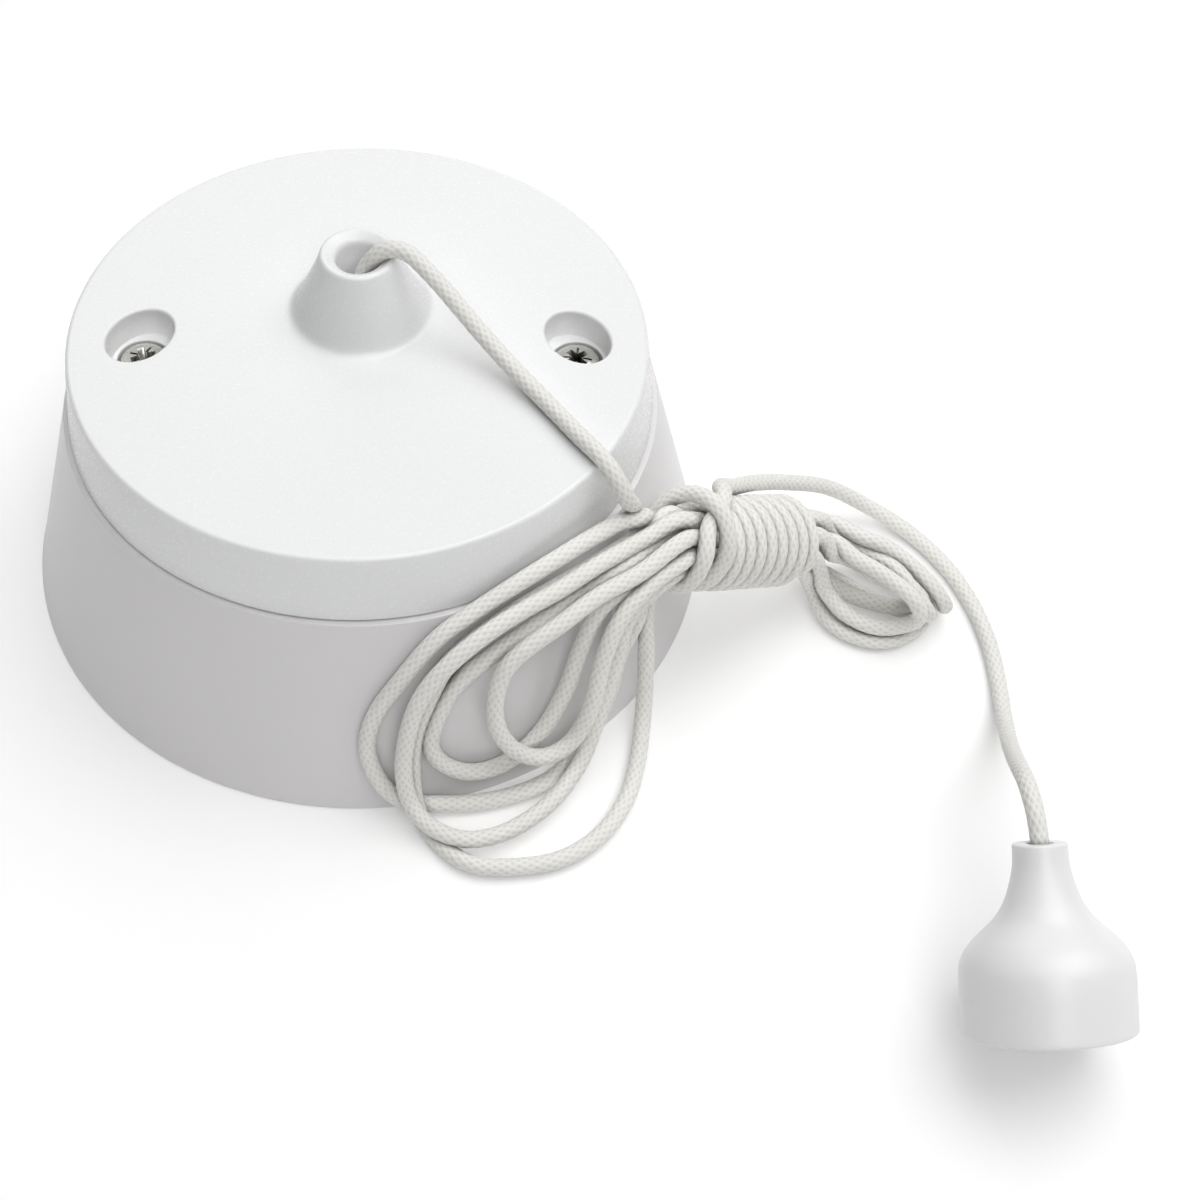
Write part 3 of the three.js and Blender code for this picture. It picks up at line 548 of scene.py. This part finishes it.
# ---------------------------------------------------------------- back box
def make_base():
    s = Shell("pattress_moulding")
    slope = (FOOT_R - BOX_TOP_R) / SEAM_Z
    rim_z = SEAM_Z - 0.3
    wall = arc(49.75, 0.42, 0.42, -90, 14, 6) + [(FOOT_R - slope * 1.2, 1.2)]
    wall += [(FOOT_R - slope * z, z) for z in (8, 16, 24, 31.1)]
    wall += arc(41.87, rim_z - 0.14, 0.14, 14, 90, 4)
    wall += [
        (39.1, rim_z), (39.0, rim_z + 0.1), (38.85, rim_z + 2.0), (38.7, rim_z + 2.2), (37.5, rim_z + 2.2),
        (37.4, rim_z + 2.1), (37.4, rim_z - 1), (FOOT_R - slope * 2.5 - 2.3, BACK_PLATE),
    ]
    rings = s.turned(wall, RIM_STEPS)
    holes_low, holes_high = [], []

    def hole(shape):
        """A hole through the back, with its edges broken on both faces."""
        edge = 0.2
        levels = ((edge, 0.0), (0, edge), (0, BACK_PLATE - edge), (edge, BACK_PLATE))
        made = [shape(grow, z) for grow, z in levels]
        s.strips(made)
        holes_low.append(made[0])
        holes_high.append(made[-1])

    def entry(grow, z):
        return s.circle(ENTRY_R + grow, z, ENTRY_STEPS)

    def slot_at(y):
        def slot(grow, z):
            points = []
            for k in range(SLOT_STEPS):
                a = 2 * math.pi * (k + 0.5) / SLOT_STEPS
                middle = SLOT_HALF if math.cos(a) > 0 else -SLOT_HALF
                r = SLOT_R + grow
                points.append((middle + r * math.cos(a), y + r * math.sin(a), z))
            return s.ring(points)
        return slot

    hole(entry)
    hole(slot_at(SLOT_Y))
    hole(slot_at(-SLOT_Y))
    pillar_loops = []
    pillar_z = COVER_TOP_Z - WELL_DEPTH - HEAD_H - WELL_WALL - 0.3
    insert_z = pillar_z + 0.3 - 9
    for side in (-1, 1):
        pillar = [
            (4.9, BACK_PLATE), (4.65, 2.75), (4.6, 4), (4.6, pillar_z - 0.2), (4.4, pillar_z), (2.95, pillar_z),
            (2.9, insert_z), (SHANK_HOLE_R, insert_z), (SHANK_HOLE_R, 12),
        ]
        made = s.turned(pillar, PILLAR_STEPS, (side * SCREW_X, 0))
        s.flat([made[-1]])
        pillar_loops.append(made[0])
    s.flat([rings[0], *holes_low])
    s.flat([rings[-1], *holes_high, *pillar_loops])
    return s.done()


# ---------------------------------------------------------------- bell pull and its knot
BELL_STEPS = 192
BELL_SHARP = 40
KNOT_UP = 13.1
KNOT_D = 1.9
KNOT_SIZE = 0.78
KNOT_DEPTH = 1.15
KNOT_GAP = 0.25


def turned_to_bell():
    """The rotation from straight up to the bell's axis."""
    return Vector((0, 0, 1)).rotation_difference(Vector(BELL_AXIS)).to_matrix()


def make_bell():
    s = Shell("bell_moulding")
    outer = soft_profile([
        (11.1, 0.9), (11.12, 4.0), (11.1, 7.4), (10.85, 9.1), (10.1, 10.6), (9.0, 11.9), (7.6, 13.2),
        (6.2, 14.6), (5.1, 16.3), (4.35, 18.2), (3.85, 20.0), (3.6, 21.4), (3.52, 23.0),
    ], 0.45)
    top = arc(3.22, 23.7, 0.3, 0, 90, 4) + arc(1.95, 23.75, 0.25, 90, 180, 3)
    throat = [(1.7, 22), (1.7, 19.6), (2.2, 18.8)]
    inner = soft_profile([
        (2.2, 18.8), (2.9, 17.9), (3.9, 16.0), (5.1, 14.1), (6.6, 12.6), (8.1, 11.2), (9.2, 9.9), (9.75, 8.4),
        (9.9, 6.6), (9.92, 3.6), (9.9, 0.8),
    ], 0.5)[1:]
    lip = arc(10.2, 0.35, 0.3, 180, 270, 3) + arc(10.72, 0.38, 0.38, 270, 360, 5)
    rings = s.turned(outer + top + throat + inner + lip, BELL_STEPS)
    s.strip(rings[-1], rings[0])
    s.bm.transform(Matrix.Translation(Vector(BELL_MOUTH) * MM) @ turned_to_bell().to_4x4())
    return s.done(BELL_SHARP)


def make_knot():
    """A plain overhand knot drawn up tight, inside the bell."""
    t = np.linspace(KNOT_GAP, 2 * math.pi - KNOT_GAP, 90)
    line = np.stack([
        KNOT_SIZE * (np.sin(t) + 2 * np.sin(2 * t)),
        KNOT_SIZE * (np.cos(t) - 2 * np.cos(2 * t)),
        -KNOT_DEPTH * np.sin(3 * t),
    ], 1)
    centre = BELL_MOUTH + BELL_AXIS * KNOT_UP
    return tube("bell_cord_knot", line @ np.array(turned_to_bell()).T + centre, KNOT_D, 16, 0.03)


# ---------------------------------------------------------------- cover screws
HEAD_STEPS = 96
HEAD_SHOULDER = 0.75  # how far below its top the head's side ends
HEAD_DOME = 0.95
HEAD_BEVEL = 0.06
WINGS = 4
CUT_ABOVE = 0.6
WING_REACH = 2.15
WING_REACH_LOW = 0.8
WING_HALF = 0.56
WING_HALF_LOW = 0.36
WING_DEPTH = 1.5
MARK_FROM = 0.85
MARK_TO = 2.5
MARK_TO_LOW = 2.0
MARK_HALF = 0.15
MARK_DEPTH = 0.28


def oblong(start, stop, half):
    return [(start, -half), (stop, -half), (stop, half), (start, half)]


def wedge(name, upper, lower, depth, place):
    """A cutter that tapers from an upper outline to a lower one."""
    bm = bmesh.new()
    top_ring = [bm.verts.new((u, v, CUT_ABOVE)) for u, v in upper]
    low_ring = [bm.verts.new((u, v, -depth)) for u, v in lower]
    for q in range(4):
        bm.faces.new((top_ring[q], top_ring[(q + 1) % 4], low_ring[(q + 1) % 4], low_ring[q]))
    bm.faces.new(top_ring)
    bm.faces.new(low_ring[::-1])
    bmesh.ops.recalc_face_normals(bm, faces=bm.faces)
    bm.transform(place)
    mesh = bpy.data.meshes.new(name)
    bm.to_mesh(mesh)
    bm.free()
    return link(name, mesh)


def make_screw(name, side, spin):
    """A plated pan head with a cross recess and a short mark between its wings, on its shank."""
    x = side * SCREW_X
    head_top = COVER_TOP_Z - WELL_DEPTH + HEAD_PROUD
    seat = COVER_TOP_Z - WELL_DEPTH - HEAD_H + 0.3
    s = Shell(name)
    shoulder = head_top - HEAD_SHOULDER
    profile = [
        (0.9, 17.0), (1.55, 18.0), (1.75, 18.4), (1.75, seat), (3.2, seat), (3.33, seat + 0.12),
        (HEAD_R, seat + 0.4), (HEAD_R, shoulder),
    ]
    profile += [
        (HEAD_R * math.cos(math.radians(a)), shoulder + HEAD_DOME * math.sin(math.radians(a)))
        for a in (10, 20, 30, 40, 50, 60, 70, 80, 86)
    ]
    rings = s.turned(profile, HEAD_STEPS, (x, 0))
    s.flat([rings[0]])
    s.flat([rings[-1]], crease=False)
    screw = s.done(34)
    upright = Matrix.Diagonal((MM, MM, MM, 1)) @ Matrix.Translation((x, 0, head_top))
    cutters = []
    for k in range(WINGS):
        a = math.radians(spin) + k * math.pi / 2
        wing = (oblong(-0.1, WING_REACH, WING_HALF), oblong(-0.1, WING_REACH_LOW, WING_HALF_LOW))
        cutters.append(wedge("wing", *wing, WING_DEPTH, upright @ Matrix.Rotation(a, 4, "Z")))
        mark = (oblong(MARK_FROM, MARK_TO, MARK_HALF), oblong(MARK_FROM, MARK_TO_LOW, MARK_HALF))
        between = upright @ Matrix.Rotation(a + math.pi / 4, 4, "Z")
        cutters.append(wedge("mark", *mark, MARK_DEPTH, between))
    for cutter in cutters:
        modifier = screw.modifiers.new("cut", "BOOLEAN")
        modifier.operation = "DIFFERENCE"
        modifier.object = cutter
        modifier.solver = "EXACT"
    bevel = screw.modifiers.new("bevel", "BEVEL")
    bevel.width = HEAD_BEVEL * MM
    bevel.segments = 2
    bevel.limit_method = "ANGLE"
    bevel.angle_limit = math.radians(50)
    deps = bpy.context.evaluated_depsgraph_get()
    cut = bpy.data.meshes.new_from_object(screw.evaluated_get(deps))
    screw.modifiers.clear()
    screw.data = cut
    for cutter in cutters:
        bpy.data.objects.remove(cutter)
    cut.polygons.foreach_set("use_smooth", [True] * len(cut.polygons))
    cut.set_sharp_from_angle(angle=math.radians(34))
    return screw


# ---------------------------------------------------------------- return spring
SPRING_WIRE = 0.6
SPRING_R = 3.5
SPRING_TURNS = 4
SPRING_CLOSED = 0.7  # of a turn, lying flat at each end


def make_spring(low, high):
    """The return spring, between the slider's flange and the top of the case."""
    turn_at = np.linspace(0, SPRING_TURNS, 200)
    rise = SPRING_CLOSED * SPRING_WIRE
    bottom, top = low + SPRING_WIRE / 2, high - SPRING_WIRE / 2
    z = np.interp(
        turn_at, [0, SPRING_CLOSED, SPRING_TURNS - SPRING_CLOSED, SPRING_TURNS],
        [bottom, bottom + rise, top - rise, top],
    )
    a = 2 * math.pi * turn_at
    line = np.stack([SPRING_R * np.cos(a), CORD_Y + SPRING_R * np.sin(a), z], 1)
    return tube("return_coil", line, SPRING_WIRE, 12)


# ---------------------------------------------------------------- materials
def new_material(name, color, roughness, metallic=0.0):
    m = bpy.data.materials.new(name)
    m.use_nodes = True
    shader = m.node_tree.nodes["Principled BSDF"]
    shader.inputs["Base Color"].default_value = (*color, 1)
    shader.inputs["Roughness"].default_value = roughness
    shader.inputs["Metallic"].default_value = metallic
    return m, m.node_tree, shader


def node(tree, kind, **values):
    """A new node, with each value set on its input of that name or on the node itself."""
    n = tree.nodes.new(kind)
    for key, value in values.items():
        if key in n.inputs:
            n.inputs[key].default_value = value
        else:
            setattr(n, key, value)
    return n


def feed(tree, socket, value):
    """A socket takes another node's output, or a plain value."""
    if isinstance(value, bpy.types.NodeSocket):
        tree.links.new(value, socket)
    else:
        socket.default_value = value


def calc(tree, operation, *values):
    """The output of a math node."""
    n = node(tree, "ShaderNodeMath", operation=operation)
    for socket, value in zip(n.inputs, values):
        feed(tree, socket, value)
    return n.outputs[0]


def noise(tree, scale, detail, roughness):
    """Uneven values over the piece, in its own coordinates."""
    place = node(tree, "ShaderNodeTexCoord")
    n = node(tree, "ShaderNodeTexNoise", Scale=scale, Detail=detail, Roughness=roughness)
    tree.links.new(place.outputs["Object"], n.inputs["Vector"])
    return n.outputs["Fac"]


def remap(tree, value, low, high, to_low, to_high):
    """A value taken from one range to another, and held inside it."""
    n = node(tree, "ShaderNodeMapRange")
    for name, level in (("From Min", low), ("From Max", high), ("To Min", to_low), ("To Max", to_high)):
        n.inputs[name].default_value = level
    tree.links.new(value, n.inputs["Value"])
    return n.outputs["Result"]


def mix(tree, factor, first, second, blend_type="MIX"):
    """Two colours mixed by a factor."""
    n = node(tree, "ShaderNodeMix", data_type="RGBA", blend_type=blend_type)
    colours = [i for i in n.inputs if i.type == "RGBA"]
    feed(tree, n.inputs["Factor"], factor)
    feed(tree, colours[0], first)
    feed(tree, colours[1], second)
    return next(o for o in n.outputs if o.type == "RGBA")


def bump(tree, shader, height, strength, distance):
    """A bump on top of the ones that the shader has."""
    n = node(tree, "ShaderNodeBump", Strength=strength, Distance=distance)
    tree.links.new(height, n.inputs["Height"])
    normal = shader.inputs["Normal"]
    if normal.is_linked:
        tree.links.new(normal.links[0].from_socket, n.inputs["Normal"])
    tree.links.new(n.outputs["Normal"], normal)


def paint_crevice_shade(tree, shader, reach, darkest):
    """Darkens the colour where the surface faces a near one, painting shade into a groove."""
    near = node(tree, "ShaderNodeAmbientOcclusion", samples=8)
    near.inputs["Distance"].default_value = reach
    level = remap(tree, near.outputs["AO"], 0.25, 0.95, darkest, 1.0)
    colour = shader.inputs["Base Color"]
    tree.links.new(mix(tree, 1.0, colour.links[0].from_socket, level, "MULTIPLY"), colour)


def plastic(name, color, roughness, grain=2520.0, strength=0.05, tint=0.985):
    """Moulded plastic: a faint uneven gloss, a slight ripple, and a very fine grain."""
    m, tree, shader = new_material(name, color, roughness)
    ripple = noise(tree, 38.0, 1.0, 0.3)
    fine_grain = noise(tree, grain, 3.0, 0.6)
    gloss = remap(tree, fine_grain, 0.0, 1.0, roughness - 0.02, roughness + 0.02)
    tree.links.new(gloss, shader.inputs["Roughness"])
    tinted = (color[0] * tint, color[1] * tint, color[2] * tint * 0.995, 1)
    tree.links.new(mix(tree, ripple, tinted, (*color, 1)), shader.inputs["Base Color"])
    bump(tree, shader, ripple, strength, 0.0001)
    bump(tree, shader, fine_grain, strength * 0.8, 0.000004)
    return m


def metal(name, color, roughness):
    """Plated or bright metal, unevenly dull, and darker in its corners with painted shade."""
    m, tree, shader = new_material(name, color, roughness, 1.0)
    wear = noise(tree, 900.0, 4.0, 0.6)
    dull = remap(tree, wear, 0.3, 0.7, max(0.05, roughness - 0.1), roughness + 0.12)
    tree.links.new(dull, shader.inputs["Roughness"])
    worn = (color[0] * 0.86, color[1] * 0.85, color[2] * 0.82, 1)
    tree.links.new(mix(tree, wear, worn, (*color, 1)), shader.inputs["Base Color"])
    bump(tree, shader, wear, 0.12, 0.00003)
    # painted shade: ambient occlusion darkens the colour in corners and recesses
    paint_crevice_shade(tree, shader, 0.0016, 0.12)
    return m


def braid(name, light, gap_shade_colour):
    """A braided nylon sleeve: strands over and under each other, each of fine yarns, with painted shade
    darkening the gaps.
    """
    m, tree, shader = new_material(name, light, 0.72)
    shader.inputs["Sheen Weight"].default_value = 0.25
    shader.inputs["Sheen Roughness"].default_value = 0.5
    uv = node(tree, "ShaderNodeUVMap", uv_map="weave")
    split = node(tree, "ShaderNodeSeparateXYZ")
    tree.links.new(uv.outputs["UV"], split.inputs[0])
    u, v = split.outputs["X"], split.outputs["Y"]
    tau = 2 * math.pi
    across = calc(tree, "COSINE", calc(tree, "MULTIPLY", u, tau * AROUND))
    along = calc(tree, "COSINE", calc(tree, "MULTIPLY", v, tau))
    stitch = calc(tree, "MULTIPLY", across, along)
    yarn_u = calc(tree, "MULTIPLY", u, tau * (3 * AROUND))
    yarn_v = calc(tree, "MULTIPLY", v, tau * 3)
    one_way = calc(tree, "SINE", calc(tree, "ADD", yarn_u, yarn_v))
    other_way = calc(tree, "SINE", calc(tree, "SUBTRACT", yarn_u, yarn_v))
    yarn = calc(tree, "MULTIPLY", calc(tree, "ADD", one_way, other_way), 0.12)
    fuzz = calc(tree, "MULTIPLY", noise(tree, 2600.0, 3.0, 0.7), 0.6)
    height = calc(tree, "ADD", calc(tree, "ADD", stitch, yarn), fuzz)
    # painted shade: the low parts of the weave take the darker colour
    painted_gap_shade = remap(tree, height, -0.75, 0.35, 0.0, 1.0)
    tree.links.new(mix(tree, painted_gap_shade, (*gap_shade_colour, 1), (*light, 1)), shader.inputs["Base Color"])
    bump(tree, shader, height, 0.45, 0.00011)
    # painted shade: ambient occlusion darkens the colour in the grooves between strands and turns
    paint_crevice_shade(tree, shader, 0.0013, 0.42)
    return m


WHITE = (0.86, 0.865, 0.87)
materials = {
    # the box's plastic is darker and mauve-grey beside the cover's white: painted shade for its side walls
    "housing_base": plastic("housing_base_shaded_plastic", (0.765, 0.75, 0.757), 0.3),
    "housing_cover": plastic("housing_cover_plastic", WHITE, 0.27),
    "bell": plastic("bell_plastic", (0.86, 0.86, 0.865), 0.33),
    "inner_plastic": plastic("inner_grey_plastic", (0.68, 0.66, 0.6), 0.5, 1800.0, 0.12, 0.95),
    "acetal": plastic("acetal_plastic", (0.82, 0.8, 0.74), 0.4, 1800.0, 0.06, 0.97),
    "brass": metal("brass_metal", (0.72, 0.52, 0.2), 0.3),
    "steel": metal("plated_steel", (0.86, 0.85, 0.81), 0.22),
    "spring_steel": metal("spring_steel_metal", (0.42, 0.43, 0.45), 0.3),
    # the cord's second colour is painted shade for the gaps of the weave
    "cord": braid("braided_cord", (0.86, 0.85, 0.815), (0.70, 0.69, 0.65)),
}

# ---------------------------------------------------------------- pieces
cord = tube("pull_cord", fine, CORD_D + 0.1, 24, 0.05)
bell = make_bell()
knot = make_knot()
cover = make_cover()
base = make_base()
screw_left = make_screw("screw_left", -1, 22)
screw_right = make_screw("screw_right", 1, 38)
spring_low, spring_high = (corner[2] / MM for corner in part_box("return_spring"))
spring = make_spring(spring_low, spring_high)

# each CAD node takes the finish that its own slot names
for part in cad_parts.values():
    for place in part.material_slots:
        place.material = materials[place.material.name]


def settle(piece, body, slot, *stands_for):
    """The piece takes its finish, rides on a body, and replaces CAD nodes."""
    piece.data.materials.clear()
    piece.data.materials.append(materials[slot])
    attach(piece, body)
    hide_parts(*stands_for)


settle(cord, "pull", "cord", "cord_lead", "cord_hank_left", "cord_windings", "cord_hank_right", "cord_tail")
settle(bell, "pull", "bell", "bell_pull")
settle(knot, "pull", "cord", "bell_knot")
settle(cover, "root", "housing_cover", "cover")
settle(base, "root", "housing_base", "pattress_box")
settle(screw_left, "root", "steel", "cover_screw_left")
settle(screw_right, "root", "steel", "cover_screw_right")
settle(spring, "root", "spring_steel", "return_spring")
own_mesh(spring)

# ---------------------------------------------------------------- floor, lights
FLOOR = 4
floor_mesh = bpy.data.meshes.new("floor")
floor_corners = [(-FLOOR, -FLOOR, 0), (FLOOR, -FLOOR, 0), (FLOOR, FLOOR, 0), (-FLOOR, FLOOR, 0)]
floor_mesh.from_pydata(floor_corners, [], [(0, 1, 2, 3)])
floor = link("floor", floor_mesh)
floor_material, _, floor_shader = new_material("studio_floor", (0.82, 0.82, 0.82), 0.9)
floor_shader.inputs["Specular IOR Level"].default_value = 0.1
floor_shader.inputs["Emission Color"].default_value = (1, 1, 1, 1)
floor_shader.inputs["Emission Strength"].default_value = 0.2
floor_mesh.materials.append(floor_material)


def area(name, place, aim, size, power):
    lamp = bpy.data.lights.new(name, "AREA")
    lamp.shape = "SQUARE"
    lamp.size = size
    lamp.energy = power
    obj = bpy.data.objects.new(name, lamp)
    obj.location = place
    obj.rotation_euler = (Vector(aim) - Vector(place)).to_track_quat("-Z", "Y").to_euler()
    bpy.context.scene.collection.objects.link(obj)


# place and aim in metres, size in metres, power in watts
area("top", (0.1, 0, 1.3), (0, 0, 0), 1.5, 7.2)
area("top_right", (0.4, 0.15, 1.2), (0.02, -0.02, 0), 1.1, 7.9)
area("front", (0.15, -0.8, 1.0), (0, -0.02, 0.03), 0.6, 4.1)
area("rear", (-0.1, 1.0, 0.6), (0.02, -0.02, 0), 0.8, 2.5)
area("far_right", (0.9, 0.5, 0.9), (0.02, -0.02, 0), 0.8, 1.4)
world = bpy.data.worlds.new("studio")
world.use_nodes = True
sky = world.node_tree
fill = sky.nodes["Background"]
fill.inputs["Color"].default_value = (1.0, 0.985, 0.985, 1)
fill.inputs["Strength"].default_value = 0.02
# a pale backdrop above the floor, which adds no light of its own
backdrop = node(sky, "ShaderNodeBackground", Strength=0.85)
seen = node(sky, "ShaderNodeLightPath")
either = node(sky, "ShaderNodeMixShader")
sky.links.new(seen.outputs["Is Camera Ray"], either.inputs[0])
sky.links.new(fill.outputs[0], either.inputs[1])
sky.links.new(backdrop.outputs[0], either.inputs[2])
sky.links.new(either.outputs[0], sky.nodes["World Output"].inputs["Surface"])
bpy.context.scene.world = world

bpy.context.scene.view_settings.view_transform = "Standard"
bpy.context.view_layer.update()
